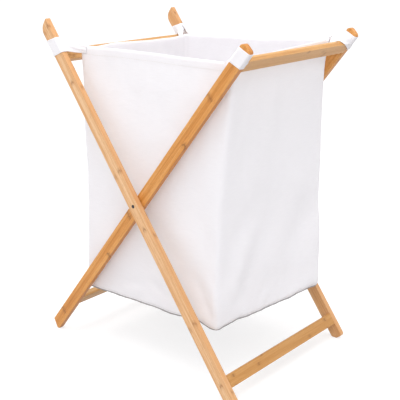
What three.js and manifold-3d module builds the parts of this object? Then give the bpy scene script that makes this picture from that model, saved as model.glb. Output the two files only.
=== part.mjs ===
// Folding laundry hamper: a cloth bag hung inside two crossed bamboo frames.
// Each frame is a ladder of two legs and two rails, and the inner one stands turned inside the outer one.
// Millimetres, +Z up. The origin lies on the floor below the pivot, midway between the near and far legs.

import * as THREE from 'three';
import { mergeVertices } from 'three/addons/utils/BufferGeometryUtils.js';
import { ConvexGeometry } from 'three/addons/geometries/ConvexGeometry.js';
import Module from 'manifold-3d';

const wasm = await Module();
wasm.setup();

// Frames
const frameWidth = 400;
const legWidth = 25;
const legThickness = 12.5;
const halfAngle = THREE.MathUtils.degToRad(36.7);
const edgeEase = 1;

// Leg ends, each measured from the pivot to its farthest point
const cornerEase = 1.2;
const outerTopReach = 422;
const outerTopSlant = THREE.MathUtils.degToRad(22);
const outerTopRadius = 20;
const outerFootReach = 423.1;
const outerFootFlat = 12;
const outerFootRadius = 6;
const innerTopReach = 418;
const innerTopSlant = THREE.MathUtils.degToRad(10);
const innerTopRadius = 7;
const innerFootFlat = 6;
const innerFootSlant = THREE.MathUtils.degToRad(25);

// Rails, each centred this far in from its end of the legs
const railHeight = 25;
const railThickness = 12.5;
const outerTopRailInset = 78.1;
const outerBottomRailInset = 42.5;
const innerTopRailInset = 37.4;
const innerBottomRailInset = 75.6;

// Dowels, two in each rail end
const dowelDiameter = 6;
const dowelLength = 22;
const dowelInLeg = 8;
const dowelSpacing = 12;
const dowelChamfer = 0.8;

// Pivots
const boltDiameter = 5;
const boltHeadDiameter = 7;
const boltHeadSeat = 1.5;
const boltDome = 1.2;
const washerDiameter = 16;
const washerThickness = 1.4;
const nutFlats = 8;
const nutHeight = 4.7;
const nutRecess = 5;

// Bag
const bagLegGap = 13;
const bagRailGap = 20;
const bagLeftTaper = 13;
const bagRightTaper = 6;
const bagFloorHeight = 118;
const bagFloorTilt = 7.5;
const bagFloorSag = 3;
const bagHollow = 5;
const bagWall = 2.5;
const bagCornerRadius = 9;
const rimAboveOuterRail = 5;
const rimBelowInnerRail = 7;

// Loops that carry the bag, and the ears that join them to its corners
const loopWidth = 30;
const outerLoopRise = 2.5;
const innerLoopDrop = 2.8;
const loopCloth = 1.2;
const loopCornerRadius = 1.2;
const earCloth = 2.4;
const earInset = 3;
const earDrop = 16;
const earSeam = 6;

// Fits
const fitGap = 0.3;
const overrun = 2;
const weldDistance = 0.001;

// Facets
const boreSides = 20;
const curveSteps = 8;
const easeSteps = 2;
const bagSideSteps = 6;
const bagCornerSteps = 3;
const bagWallRows = 8;

// Sizes that follow from the ones above
const pivotHeight = outerFootReach * Math.cos(halfAngle)
  + (legWidth / 2 - outerFootFlat * Math.cos(halfAngle)) * Math.sin(halfAngle);
const innerFootReach = pivotHeight / Math.cos(halfAngle)
  - (legWidth / 2 - innerFootFlat * Math.cos(halfAngle)) * Math.tan(halfAngle);
const outerTopRail = outerTopReach - outerTopRailInset;
const outerBottomRail = outerFootReach - outerBottomRailInset;
const innerTopRail = innerTopReach - innerTopRailInset;
const innerBottomRail = innerFootReach - innerBottomRailInset;
const legGap = washerThickness + 2 * fitGap;
const innerFrameWidth = frameWidth - 2 * (legThickness + legGap);
const bagDepth = innerFrameWidth - 2 * (legThickness + bagLegGap);
const sides = [-1, 1];

const bamboo = { color: 0xe0a766, roughness: 0.5, metalness: 0 };
const paleBamboo = { color: 0xe9b67c, roughness: 0.5, metalness: 0 };
const beech = { color: 0xd9b98a, roughness: 0.7, metalness: 0 };
const steel = { color: 0x3a3a3c, roughness: 0.35, metalness: 1 };
const nylon = { color: 0xe8e4da, roughness: 0.5, metalness: 0 };
const canvas = { color: 0xf3f1ef, roughness: 0.95, metalness: 0 };

/** A closed three.js geometry as a manifold solid. */
function solid(geometry) {
  const bare = geometry.clone();
  bare.deleteAttribute('normal');
  bare.deleteAttribute('uv');
  const merged = mergeVertices(bare, weldDistance);
  return new wasm.Manifold(new wasm.Mesh({
    numProp: 3,
    vertProperties: new Float32Array(merged.attributes.position.array),
    triVerts: new Uint32Array(merged.index.array),
  }));
}

/** A manifold solid as a three.js geometry. */
function geometryOf(manifold) {
  const mesh = manifold.getMesh();
  const geometry = new THREE.BufferGeometry();
  geometry.setAttribute('position', new THREE.BufferAttribute(new Float32Array(mesh.vertProperties), 3));
  geometry.setIndex(new THREE.BufferAttribute(new Uint32Array(mesh.triVerts), 1));
  geometry.computeVertexNormals();
  return geometry;
}

/** The geometry with every cutter taken out of it. */
function carve(geometry, cutters) {
  return geometryOf(cutters.reduce((body, cutter) => body.subtract(solid(cutter)), solid(geometry)));
}

/** A named mesh with a material of its own. */
function piece(name, geometry, finish) {
  const mesh = new THREE.Mesh(geometry, new THREE.MeshStandardMaterial(finish));
  mesh.name = name;
  return mesh;
}

/** A round bar along Y, centred on the given point. */
function barAlongY(diameter, length, x, y, z) {
  return new THREE.CylinderGeometry(diameter / 2, diameter / 2, length, boreSides).translate(x, y, z);
}

/** A hole of the given depth into a face, seen from the side that the face looks to. */
function blindHole(diameter, depth, x, faceY, faceSide, z) {
  const length = depth + overrun;
  return barAlongY(diameter, length, x, faceY + faceSide * (overrun - depth) / 2, z);
}

/** A rectangle round the origin with rounded corners. */
function roundedRectangle(width, height, radius) {
  const right = width / 2;
  const top = height / 2;
  const shape = new THREE.Shape();
  shape.absarc(right - radius, top - radius, radius, 0, Math.PI / 2);
  shape.absarc(radius - right, top - radius, radius, Math.PI / 2, Math.PI);
  shape.absarc(radius - right, radius - top, radius, Math.PI, 1.5 * Math.PI);
  shape.absarc(right - radius, radius - top, radius, 1.5 * Math.PI, 2 * Math.PI);
  shape.closePath();
  return shape;
}

/** An outline through corners in anticlockwise order, each with a radius of its own. */
function roundedOutline(corners) {
  const shape = new THREE.Shape();
  corners.forEach((corner, index) => {
    const before = corners.at(index - 1).at.clone().sub(corner.at).normalize();
    const after = corners[(index + 1) % corners.length].at.clone().sub(corner.at).normalize();
    const halfCorner = Math.acos(before.dot(after)) / 2;
    const inward = before.clone().add(after).setLength(corner.radius / Math.sin(halfCorner));
    const centre = corner.at.clone().add(inward);
    const tangent = corner.radius / Math.tan(halfCorner);
    const start = before.multiplyScalar(tangent).sub(inward).angle();
    const end = after.multiplyScalar(tangent).sub(inward).angle();
    shape.absarc(centre.x, centre.y, corner.radius, start, end);
  });
  shape.closePath();
  return shape;
}

/** One corner of an outline. */
function corner(x, y, radius) {
  return { at: new THREE.Vector2(x, y), radius };
}

/**
 * Side view of an outer leg, with X across it and Y along it from the pivot, its foot at -Y.
 * The foot has a flat that lies on the floor. The top slants off to a large round corner.
 */
function outerLegOutline() {
  const edge = legWidth / 2;
  return roundedOutline([
    corner(-edge, outerFootFlat * Math.sin(halfAngle) - outerFootReach, cornerEase),
    corner(outerFootFlat * Math.cos(halfAngle) - edge, -outerFootReach, cornerEase),
    corner(edge, -outerFootReach, outerFootRadius),
    corner(edge, outerTopReach, cornerEase),
    corner(-edge, outerTopReach - legWidth * Math.tan(outerTopSlant), outerTopRadius),
  ]);
}

/**
 * Side view of an inner leg, with X across it and Y along it from the pivot, its foot at +Y.
 * The foot is cut at a slant that leaves a small flat on the floor. The top is softly rounded.
 */
function innerLegOutline() {
  const edge = legWidth / 2;
  const flatEnd = edge - innerFootFlat * Math.cos(halfAngle);
  return roundedOutline([
    corner(-edge, -innerTopReach, innerTopRadius),
    corner(edge, legWidth * Math.tan(innerTopSlant) - innerTopReach, innerTopRadius),
    corner(edge, innerFootReach - innerFootFlat * Math.sin(halfAngle), cornerEase),
    corner(flatEnd, innerFootReach, cornerEase),
    corner(-edge, innerFootReach - (flatEnd + edge) * Math.tan(innerFootSlant), cornerEase),
  ]);
}

/** Where the two dowels of a rail end sit along the leg, either side of the rail's centre. */
function dowelPlaces(railCentre) {
  return sides.map((side) => railCentre + side * dowelSpacing / 2);
}

/** The two rails of a frame: how far along the leg, and how far across it. */
function railSeats(lowRail, highRail) {
  return [
    { end: 0, along: -lowRail, across: (legWidth - railThickness) / 2 },
    { end: 1, along: highRail, across: (railThickness - legWidth) / 2 },
  ];
}

/** A leg lying along Z, with its pivot hole at the origin and its rail side towards insideSide. */
function legGeometry(outline, seats, insideSide, pivotRecess) {
  const blank = new THREE.ExtrudeGeometry(outline, {
    depth: legThickness - 2 * edgeEase,
    bevelEnabled: true,
    bevelThickness: edgeEase,
    bevelSize: edgeEase,
    bevelOffset: -edgeEase,
    bevelSegments: easeSteps,
    curveSegments: curveSteps,
  });
  blank.translate(0, 0, edgeEase - legThickness / 2);
  blank.rotateX(Math.PI / 2);
  const cutters = [barAlongY(boltDiameter + 2 * fitGap, legThickness + 2 * overrun, 0, 0, 0)];
  const recessSide = pivotRecess.inside ? insideSide : -insideSide;
  cutters.push(blindHole(pivotRecess.diameter, pivotRecess.depth, 0,
    recessSide * legThickness / 2, recessSide, 0));
  for (const seat of seats) {
    for (const place of dowelPlaces(seat.along)) {
      cutters.push(blindHole(dowelDiameter + 2 * fitGap, dowelInLeg + fitGap, seat.across,
        insideSide * legThickness / 2, insideSide, place));
    }
  }
  return carve(blank, cutters);
}

/** A rail along Y, centred on the origin, with dowel holes in both ends. */
function railGeometry(clearWidth) {
  const length = clearWidth - 2 * fitGap;
  const bar = new THREE.ExtrudeGeometry(roundedRectangle(railThickness, railHeight, edgeEase), {
    depth: length,
    bevelEnabled: false,
    curveSegments: easeSteps,
  });
  bar.translate(0, 0, -length / 2);
  bar.rotateX(Math.PI / 2);
  const cutters = [];
  for (const side of sides) {
    for (const place of dowelPlaces(0)) {
      cutters.push(blindHole(dowelDiameter + 2 * fitGap, dowelLength - dowelInLeg + fitGap, 0,
        side * length / 2, side, place));
    }
  }
  return carve(bar, cutters);
}

/** A dowel along Y with chamfered ends. */
function dowelGeometry() {
  const radius = dowelDiameter / 2;
  const half = dowelLength / 2;
  const profile = [
    new THREE.Vector2(0, -half),
    new THREE.Vector2(radius - dowelChamfer, -half),
    new THREE.Vector2(radius, dowelChamfer - half),
    new THREE.Vector2(radius, half - dowelChamfer),
    new THREE.Vector2(radius - dowelChamfer, half),
    new THREE.Vector2(0, half),
  ];
  return new THREE.LatheGeometry(profile, boreSides);
}

/** One frame in its own plane: X across the legs, Y along the rails, Z along the legs from the pivot. */
function frame(names, width, shape, finishes) {
  const group = new THREE.Group();
  const clearWidth = width - 2 * legThickness;
  for (const side of sides) {
    const sideName = names.sides[side];
    const blank = legGeometry(shape.outline, shape.seats, -side, shape.pivotRecess);
    const leg = piece(`${names.frame}_leg_${sideName}`, blank, finishes.leg);
    leg.position.y = side * (width - legThickness) / 2;
    group.add(leg);
    for (const seat of shape.seats) {
      dowelPlaces(seat.along).forEach((place, index) => {
        const name = `${names.frame}_dowel_${names.ends[seat.end]}_${sideName}_${index + 1}`;
        const dowel = piece(name, dowelGeometry(), beech);
        dowel.position.set(seat.across, side * (clearWidth / 2 + dowelInLeg - dowelLength / 2), place);
        group.add(dowel);
      });
    }
  }
  for (const seat of shape.seats) {
    const rail = piece(`${names.frame}_rail_${names.ends[seat.end]}`, railGeometry(clearWidth),
      finishes.rail);
    rail.position.set(seat.across, 0, seat.along);
    group.add(rail);
  }
  return group;
}

/** Domed pivot bolt along Y: the head looks to -Y, and the origin is on the leg's outer face. */
function boltGeometry() {
  const headRadius = boltHeadDiameter / 2;
  const shankRadius = boltDiameter / 2;
  const shankEnd = 2 * legThickness + legGap - (nutRecess - nutHeight);
  const profile = [];
  for (let step = 0; step < curveSteps; step += 1) {
    const angle = (step / curveSteps) * (Math.PI / 2);
    profile.push(new THREE.Vector2(headRadius * Math.sin(angle), -boltDome * Math.cos(angle)));
  }
  profile.push(new THREE.Vector2(headRadius, 0));
  profile.push(new THREE.Vector2(headRadius, boltHeadSeat - fitGap));
  profile.push(new THREE.Vector2(shankRadius, boltHeadSeat - fitGap));
  profile.push(new THREE.Vector2(shankRadius, shankEnd));
  profile.push(new THREE.Vector2(0, shankEnd));
  return new THREE.LatheGeometry(profile, boreSides);
}

/** A flat ring or hexagon round the Y axis, centred on the origin. */
function ringGeometry(outline, thickness) {
  const hole = new THREE.Path();
  hole.absarc(0, 0, boltDiameter / 2 + fitGap, 0, 2 * Math.PI, true);
  outline.holes.push(hole);
  const ring = new THREE.ExtrudeGeometry(outline, {
    depth: thickness,
    bevelEnabled: false,
    curveSegments: boreSides,
  });
  return ring.translate(0, 0, -thickness / 2).rotateX(Math.PI / 2);
}

function washerGeometry() {
  const outline = new THREE.Shape();
  outline.absarc(0, 0, washerDiameter / 2, 0, 2 * Math.PI);
  return ringGeometry(outline, washerThickness);
}

function nutGeometry() {
  const corners = [];
  for (let corner = 0; corner < 6; corner += 1) {
    const angle = (corner / 6) * 2 * Math.PI;
    const radius = nutFlats / Math.sqrt(3);
    corners.push(new THREE.Vector2(radius * Math.cos(angle), radius * Math.sin(angle)));
  }
  return ringGeometry(new THREE.Shape(corners), nutHeight);
}

/** Bolt, washer and nut of one pivot. The bolt head is on the outer side of the outer leg. */
function pivot(side, sideName) {
  const group = new THREE.Group();
  const bolt = piece(`pivot_bolt_${sideName}`, boltGeometry(), steel);
  const washer = piece(`pivot_washer_${sideName}`, washerGeometry(), nylon);
  const nut = piece(`pivot_nut_${sideName}`, nutGeometry(), steel);
  washer.position.y = legThickness + legGap / 2;
  nut.position.y = 2 * legThickness + legGap - nutRecess + fitGap + nutHeight / 2;
  group.add(bolt, washer, nut);
  group.position.y = side * frameWidth / 2;
  group.rotation.z = side > 0 ? Math.PI : 0;
  return group;
}

/** The two hung ends: which way each leans, where its loop starts, and how its legs stand apart. */
const hangers = {
  outer: { lean: -1, rail: outerTopRail, loopRise: outerLoopRise, width: frameWidth },
  inner: { lean: 1, rail: innerTopRail, loopRise: -innerLoopDrop, width: innerFrameWidth },
};

/** A place on a frame's leg as seen from the side, at a distance along it and across it. */
function legPlace(hanger, along, across) {
  return new THREE.Vector2(
    hanger.lean * (along * Math.sin(halfAngle) - across * Math.cos(halfAngle)),
    pivotHeight + along * Math.cos(halfAngle) + across * Math.sin(halfAngle),
  );
}

/** Closed band round a leg, along Z from its lower edge, standing grown beyond its cloth if asked. */
function bandGeometry(grow, open) {
  const clothEdge = fitGap + loopCloth + grow;
  const outline = roundedRectangle(legWidth + 2 * clothEdge, legThickness + 2 * clothEdge,
    loopCornerRadius);
  if (open) {
    const bore = roundedRectangle(legWidth + 2 * fitGap, legThickness + 2 * fitGap, fitGap);
    outline.holes.push(new THREE.Path(bore.getPoints(easeSteps).reverse()));
  }
  const band = new THREE.ExtrudeGeometry(outline, {
    depth: loopWidth + 2 * grow,
    bevelEnabled: false,
    curveSegments: easeSteps,
  });
  return band.translate(0, 0, -grow);
}

/** Loop of cloth round a leg top, notched where it sits on the rail. */
function loopGeometry(hanger, insideSide) {
  const railTop = railHeight / 2 - hanger.loopRise + fitGap;
  const notchHeight = railTop + overrun;
  const notchDepth = loopCloth + fitGap + overrun;
  const notch = new THREE.BoxGeometry(railThickness + 2 * fitGap, notchDepth, notchHeight);
  notch.translate(
    hanger.lean * railThickness / 2,
    insideSide * (legThickness + notchDepth) / 2,
    railTop - notchHeight / 2,
  );
  return carve(bandGeometry(0, true), [notch]);
}

/** The bag's rim as seen from the side: its two ends, drawn in by inset and raised by rise. */
function bagRim(inset, rise) {
  const outer = hangers.outer;
  const inner = hangers.inner;
  return {
    left: legPlace(outer, outer.rail - railHeight / 2, 0).x + bagRailGap + inset,
    right: legPlace(inner, inner.rail - railHeight / 2, 0).x - bagRailGap - inset,
    leftHeight: legPlace(outer, outer.rail + railHeight / 2, 0).y + rimAboveOuterRail + rise,
    rightHeight: legPlace(inner, inner.rail + railHeight / 2, 0).y - rimBelowInnerRail + rise,
  };
}

/** One side of a level ring: shares from 0 to 1 along it, with the turn at its end. */
function ringSide(start, end, radius, hang) {
  const along = end.clone().sub(start).normalize();
  const inward = new THREE.Vector2(-along.y, along.x);
  const from = start.clone().addScaledVector(along, radius);
  const to = end.clone().addScaledVector(along, -radius);
  const points = [];
  for (let step = 0; step < bagSideSteps; step += 1) {
    const share = step / bagSideSteps;
    const point = from.clone().lerp(to, share);
    points.push(point.addScaledVector(inward, hang * Math.sin(Math.PI * share)));
  }
  const centre = to.clone().addScaledVector(inward, radius);
  for (let step = 0; step < bagCornerSteps; step += 1) {
    const turn = (step / bagCornerSteps) * (Math.PI / 2);
    const arm = inward.clone().multiplyScalar(-radius).rotateAround(new THREE.Vector2(), turn);
    points.push(centre.clone().add(arm));
  }
  return points;
}

/** A level ring of the bag, anticlockwise from above, as a plan between its four corners. */
function bagRing(left, right, half, radius, hang) {
  const corners = [
    new THREE.Vector2(left, -half),
    new THREE.Vector2(right, -half),
    new THREE.Vector2(right, half),
    new THREE.Vector2(left, half),
  ];
  return corners.flatMap((start, index) => ringSide(start, corners[(index + 1) % corners.length],
    radius, hang));
}

/** The rows of the bag from its floor up: how far in, how far above the edge, and how far up the wall. */
function bagRows(radius) {
  const rows = [];
  for (let step = 0; step < bagCornerSteps; step += 1) {
    const turn = (step / bagCornerSteps) * (Math.PI / 2);
    rows.push({ inset: radius * (1 - Math.sin(turn)), lift: radius * (1 - Math.cos(turn)), up: 0 });
  }
  for (let step = 0; step <= bagWallRows; step += 1) {
    const up = step / bagWallRows;
    rows.push({ inset: 0, lift: radius * (1 - up), up });
  }
  return rows;
}

/** The bag as a filled form that narrows and sags, drawn in by inset and raised at the rim by rise. */
function bagForm(inset, rise) {
  const rim = bagRim(inset, rise);
  const radius = bagCornerRadius - inset;
  const floor = bagFloorHeight + inset;
  const heightAt = (x, row) => {
    const across = (x - rim.left) / (rim.right - rim.left);
    const low = floor + bagFloorTilt * across;
    const high = THREE.MathUtils.lerp(rim.leftHeight, rim.rightHeight, across);
    return THREE.MathUtils.lerp(low, high, row.up) + row.lift;
  };
  const rings = bagRows(radius).map((row) => {
    const left = rim.left + bagLeftTaper * (1 - row.up) + row.inset;
    const right = rim.right - bagRightTaper * (1 - row.up) - row.inset;
    const hang = bagHollow * Math.sin(Math.PI * row.up);
    return bagRing(left, right, bagDepth / 2 - inset - row.inset, radius, hang)
      .map((point) => new THREE.Vector3(point.x, point.y, heightAt(point.x, row)));
  });
  const middle = (rim.left + rim.right) / 2;
  const lowest = new THREE.Vector3(middle, 0, floor + bagFloorTilt / 2 - bagFloorSag);
  const highest = new THREE.Vector3(middle, 0, (rim.leftHeight + rim.rightHeight) / 2);
  return loft(rings, lowest, highest);
}

/** A closed skin over rings of points, anticlockwise from above, with a point to close each end. */
function loft(rings, lowest, highest) {
  const count = rings[0].length;
  const lowIndex = rings.length * count;
  const index = [];
  for (let step = 0; step < count; step += 1) {
    const next = (step + 1) % count;
    const top = (rings.length - 1) * count;
    index.push(lowIndex, next, step, lowIndex + 1, top + step, top + next);
    for (let row = 0; row < top; row += count) {
      index.push(row + step, row + next, row + count + next);
      index.push(row + step, row + count + next, row + count + step);
    }
  }
  const skin = new THREE.BufferGeometry().setFromPoints([...rings.flat(), lowest, highest]);
  skin.setIndex(index);
  return skin;
}

/** Ear of double cloth from a corner of the bag to the loop on the leg beside it. */
function earGeometry(hanger, side) {
  const { left, right, leftHeight, rightHeight } = bagRim(0, 0);
  const cornerX = hanger.lean < 0 ? left : right;
  const rim = hanger.lean < 0 ? leftHeight : rightHeight;
  const loopStart = hanger.rail + hanger.loopRise;
  const clothEdge = legWidth / 2 + fitGap + loopCloth;
  const low = legPlace(hanger, loopStart + earInset, clothEdge);
  const high = legPlace(hanger, loopStart + loopWidth - earInset, clothEdge);
  const legY = side * (hanger.width / 2 - legThickness + earCloth);
  const bagY = side * (bagDepth / 2 - earCloth / 2);
  const seamX = cornerX - hanger.lean * earSeam;
  const corners = [
    new THREE.Vector3(low.x, legY, low.y),
    new THREE.Vector3(high.x, legY, high.y),
    new THREE.Vector3(seamX, bagY, rim),
    new THREE.Vector3(seamX, bagY, rim - earDrop),
  ];
  const points = [];
  for (const corner of corners) {
    for (const face of sides) {
      points.push(corner.clone().add(new THREE.Vector3(0, face * earCloth / 2, 0)));
    }
  }
  return new ConvexGeometry(points);
}

/** The bag with its four ears, open at the top. */
function bagGeometry() {
  let bag = solid(bagForm(0, 0));
  for (const hanger of Object.values(hangers)) {
    for (const side of sides) {
      const around = bandGeometry(fitGap, false);
      placeOnLeg(around, hanger, side);
      bag = bag.add(solid(earGeometry(hanger, side)).subtract(solid(around)));
    }
  }
  return geometryOf(bag.subtract(solid(bagForm(bagWall, overrun))));
}

/** Turns a band's geometry from its own place to its place on a leg. */
function placeOnLeg(geometry, hanger, side) {
  geometry.applyMatrix4(legMatrix(hanger, side));
}

/** Where a band stands on a leg: X across the leg, Y along the pivot, Z up the leg. */
function legMatrix(hanger, side) {
  const start = legPlace(hanger, hanger.rail + hanger.loopRise, 0);
  const place = new THREE.Matrix4().makeTranslation(
    start.x, side * (hanger.width - legThickness) / 2, start.y);
  return place.multiply(new THREE.Matrix4().makeRotationY(hanger.lean * halfAngle));
}

const headRecess = { inside: false, diameter: boltHeadDiameter + 2 * fitGap, depth: boltHeadSeat };
const nutPocket = {
  inside: true,
  diameter: nutFlats * 2 / Math.sqrt(3) + 2 * fitGap,
  depth: nutRecess,
};

const hamper = new THREE.Group();

const outerFrame = frame(
  { frame: 'outer', sides: { '-1': 'near', 1: 'far' }, ends: ['bottom', 'top'] },
  frameWidth,
  {
    outline: outerLegOutline(),
    seats: railSeats(outerBottomRail, outerTopRail),
    pivotRecess: headRecess,
  },
  { leg: paleBamboo, rail: bamboo },
);
outerFrame.position.z = pivotHeight;
outerFrame.rotation.y = -halfAngle;
hamper.add(outerFrame);

const innerFrame = frame(
  { frame: 'inner', sides: { '-1': 'far', 1: 'near' }, ends: ['top', 'bottom'] },
  innerFrameWidth,
  {
    outline: innerLegOutline(),
    seats: railSeats(innerTopRail, innerBottomRail),
    pivotRecess: nutPocket,
  },
  { leg: bamboo, rail: paleBamboo },
);
innerFrame.rotation.x = Math.PI;
const innerLean = new THREE.Group();
innerLean.position.z = pivotHeight;
innerLean.rotation.y = halfAngle;
innerLean.add(innerFrame);
hamper.add(innerLean);

const pivots = new THREE.Group();
pivots.position.z = pivotHeight;
pivots.add(pivot(-1, 'near'), pivot(1, 'far'));
hamper.add(pivots);

for (const [frameName, hanger] of Object.entries(hangers)) {
  for (const side of sides) {
    const name = `loop_${frameName}_${side < 0 ? 'near' : 'far'}`;
    const loop = piece(name, loopGeometry(hanger, -side), canvas);
    loop.applyMatrix4(legMatrix(hanger, side));
    hamper.add(loop);
  }
}

hamper.add(piece('bag', bagGeometry(), canvas));

export default hamper;
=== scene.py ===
import logging
import math
from collections.abc import Callable
from dataclasses import dataclass, field
from enum import Enum
from functools import partial

import bmesh
import bpy
import numpy as np
from bpy.types import ID, Material, Modifier, Node, NodeSocket, NodeTree, Object
from mathutils import Matrix, Vector, noise
from mathutils.bvhtree import BVHTree
from numpy import ndarray


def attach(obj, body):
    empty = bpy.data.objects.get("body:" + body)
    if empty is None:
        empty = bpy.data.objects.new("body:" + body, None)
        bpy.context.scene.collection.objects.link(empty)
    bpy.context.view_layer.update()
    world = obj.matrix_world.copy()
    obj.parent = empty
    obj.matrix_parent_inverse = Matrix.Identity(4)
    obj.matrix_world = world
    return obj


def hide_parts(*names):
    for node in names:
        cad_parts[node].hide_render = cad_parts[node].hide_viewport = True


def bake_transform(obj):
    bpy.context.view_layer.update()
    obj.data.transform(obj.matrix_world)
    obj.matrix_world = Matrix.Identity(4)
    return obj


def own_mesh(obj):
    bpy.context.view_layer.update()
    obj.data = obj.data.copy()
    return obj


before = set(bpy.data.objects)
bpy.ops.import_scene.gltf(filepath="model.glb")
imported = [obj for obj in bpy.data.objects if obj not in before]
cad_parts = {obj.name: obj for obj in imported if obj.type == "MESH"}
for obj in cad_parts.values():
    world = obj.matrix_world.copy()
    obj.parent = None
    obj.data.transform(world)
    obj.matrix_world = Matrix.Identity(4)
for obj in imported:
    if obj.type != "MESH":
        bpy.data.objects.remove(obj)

log = logging.getLogger("hamper")

OUTER_BODY = "outer_frame"
INNER_BODY = "inner_frame"
MM = 0.001
TINY = 1e-9

Point = tuple[float, float, float]
Line = tuple[tuple[float, float], ...]
Row = tuple[ndarray, bool]
AddNode = Callable[..., Node]


class Side(Enum):
    """Which side of the hamper a leg stands on, along the pivot axis."""

    NEAR = -1
    FAR = 1


class Hung(Enum):
    """Which frame a corner of the bag hangs from, and the way its legs lean at the top."""

    OUTER = -1
    INNER = 1


class Bar(Enum):
    """The kinds of bamboo bar, by the start of their solids' names."""

    OUTER_LEG = "outer_leg"
    INNER_LEG = "inner_leg"
    OUTER_RAIL = "outer_rail"
    INNER_RAIL = "inner_rail"


def linear(code: str) -> tuple[float, float, float, float]:
    """Turns an sRGB hex colour into linear RGBA.

    Args:
        code: Six hex digits with a leading hash.

    Returns:
        Red, green, blue and alpha, linear, each from 0 to 1.
    """
    parts = [int(code[i:i + 2], 16) / 255 for i in (1, 3, 5)]
    flat = [c / 12.92 if c <= 0.04045 else ((c + 0.055) / 1.055) ** 2.4 for c in parts]
    return (flat[0], flat[1], flat[2], 1.0)


def smoothstep(low: float, high: float, value: ndarray) -> ndarray:
    """Eases from 0 at low to 1 at high.

    Args:
        low: Where the ease starts.
        high: Where it ends.
        value: The values to ease.

    Returns:
        The eased shares, from 0 to 1.
    """
    t = np.clip((value - low) / (high - low), 0.0, 1.0)
    return t * t * (3 - 2 * t)


def unit(vectors: ndarray) -> ndarray:
    """Gives each vector the length 1."""
    return vectors / np.maximum(np.linalg.norm(vectors, axis=-1, keepdims=True), TINY)


def distances(line: ndarray) -> ndarray:
    """How far along a line of points each of them is."""
    return np.concatenate([[0], np.cumsum(np.linalg.norm(np.diff(line, axis=0), axis=1))])


def soften(read: Callable[[ndarray], ndarray], at: ndarray, reach: float) -> ndarray:
    """Reads a line with its corners eased, as the mean over a bell about each place.

    Args:
        read: Reads the line at some places.
        at: The places.
        reach: Half the width of the bell.

    Returns:
        The mean at each place.
    """
    taps = 9
    weight = np.hanning(taps + 2)[1:-1]
    total = sum(w * read(at + d * reach) for d, w in zip(np.linspace(-1, 1, taps), weight))
    return total / weight.sum()


def add_node(tree: NodeTree, kind: str, given: dict | None = None) -> Node:
    """Adds one node with its settings and links.

    Args:
        tree: The node tree that it goes into.
        kind: The node's type name.
        given: Property names, or input sockets by name or number, and for each its value, or the
            output socket or the node that feeds it. A node feeds it from its first output.

    Returns:
        The new node.
    """
    node = tree.nodes.new(kind)
    for key, value in (given or {}).items():
        if isinstance(value, Node):
            value = value.outputs[0]
        if isinstance(value, NodeSocket):
            tree.links.new(value, node.inputs[key])
        elif isinstance(key, str) and hasattr(node, key):
            setattr(node, key, value)
        else:
            node.inputs[key].default_value = value
    return node


def new_material(name: str) -> tuple[Material, AddNode]:
    """Starts a node material.

    Args:
        name: The material's name.

    Returns:
        The empty material, and the function that adds a node to it.
    """
    material = bpy.data.materials.new(name)
    material.use_nodes = True
    material.node_tree.nodes.clear()
    return material, partial(add_node, material.node_tree)


def lay_surface(add: AddNode, given: dict) -> None:
    """Ends a material with its Principled shader.

    Args:
        add: Adds a node to the material.
        given: The shader's inputs, and for each its value or what feeds it.
    """
    add("ShaderNodeOutputMaterial", {"Surface": add("ShaderNodeBsdfPrincipled", given)})


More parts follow.
